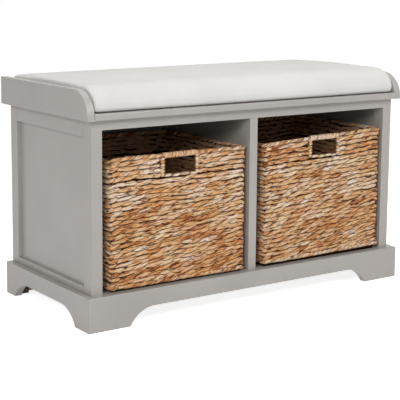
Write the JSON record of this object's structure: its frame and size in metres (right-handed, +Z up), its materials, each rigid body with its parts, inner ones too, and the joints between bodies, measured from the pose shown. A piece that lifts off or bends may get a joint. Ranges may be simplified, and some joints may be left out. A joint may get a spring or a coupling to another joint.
{
  "type": "entryway bench",
  "caption": "Storage bench with a padded seat between end rails, two open compartments with pull-out woven baskets, and a cut-out plinth.",
  "frame": {"origin": "on the floor, in the middle of the bench's overall width and depth", "axes": "+X along the bench to its right as seen from the open front, +Y towards the back, +Z up"},
  "size_m": [0.846, 0.392, 0.4989],
  "materials": {
    "painted_wood": "satin",
    "raw_wood": "matte",
    "dowel_wood": "matte",
    "glide": "matte",
    "screw_steel": "satin",
    "cushion_fabric": "matte",
    "cushion_foam": "matte",
    "woven_leaf": "matte",
    "basket_wire": "satin"
  },
  "bodies": {
    "case": {"plinth_front": "painted_wood", "plinth_left": "painted_wood", "plinth_right": "painted_wood", "plinth_back": "painted_wood", "bottom_panel": "painted_wood", "front_left_post": "painted_wood", "front_right_post": "painted_wood", "back_left_post": "painted_wood", "back_right_post": "painted_wood", "left_top_rail": "painted_wood", "left_bottom_rail": "painted_wood", "left_side_panel": "painted_wood", "right_top_rail": "painted_wood", "right_bottom_rail": "painted_wood", "right_side_panel": "painted_wood", "front_top_rail": "painted_wood", "back_top_rail": "painted_wood", "centre_stile": "painted_wood", "divider": "painted_wood", "back_panel": "painted_wood", "seat_board": "painted_wood", "left_seat_rail": "painted_wood", "right_seat_rail": "painted_wood", "corner_block_front_left": "raw_wood", "corner_block_front_right": "raw_wood", "corner_block_back_left": "raw_wood", "corner_block_back_right": "raw_wood", "foot_glides": "glide", "plinth_screws": "screw_steel", "skirting_screws": "screw_steel", "divider_screws": "screw_steel", "seat_screws": "screw_steel", "back_panel_screws": "screw_steel", "bottom_panel_dowels": "dowel_wood", "cross_rail_dowels": "dowel_wood", "plinth_dowels": "dowel_wood", "seat_rail_dowels": "dowel_wood"},
    "cushion": {"cushion_top_cover": "cushion_fabric", "cushion_base_cover": "cushion_fabric", "cushion_foam": "cushion_foam"},
    "left_basket": {"left_basket_walls": "woven_leaf", "left_basket_base": "woven_leaf", "left_basket_rim": "woven_leaf", "left_basket_bottom_roll": "woven_leaf", "left_basket_handle_binding": "woven_leaf", "left_basket_handle_wrap": "woven_leaf", "left_basket_wire_frame": "basket_wire"},
    "right_basket": {"right_basket_walls": "woven_leaf", "right_basket_base": "woven_leaf", "right_basket_rim": "woven_leaf", "right_basket_bottom_roll": "woven_leaf", "right_basket_handle_binding": "woven_leaf", "right_basket_handle_wrap": "woven_leaf", "right_basket_wire_frame": "basket_wire"}
  },
  "joints": [
    {"name": "left_basket_pull", "type": "slide", "parent": "case", "child": "left_basket", "axis": [0, -1, 0], "range_m": [0, 0.33]},
    {"name": "right_basket_pull", "type": "slide", "parent": "case", "child": "right_basket", "axis": [0, -1, 0], "range_m": [0, 0.33]},
    {"name": "cushion_lift", "type": "slide", "parent": "case", "child": "cushion", "axis": [0, 0, 1], "range_m": [0, 0.06]}
  ]
}
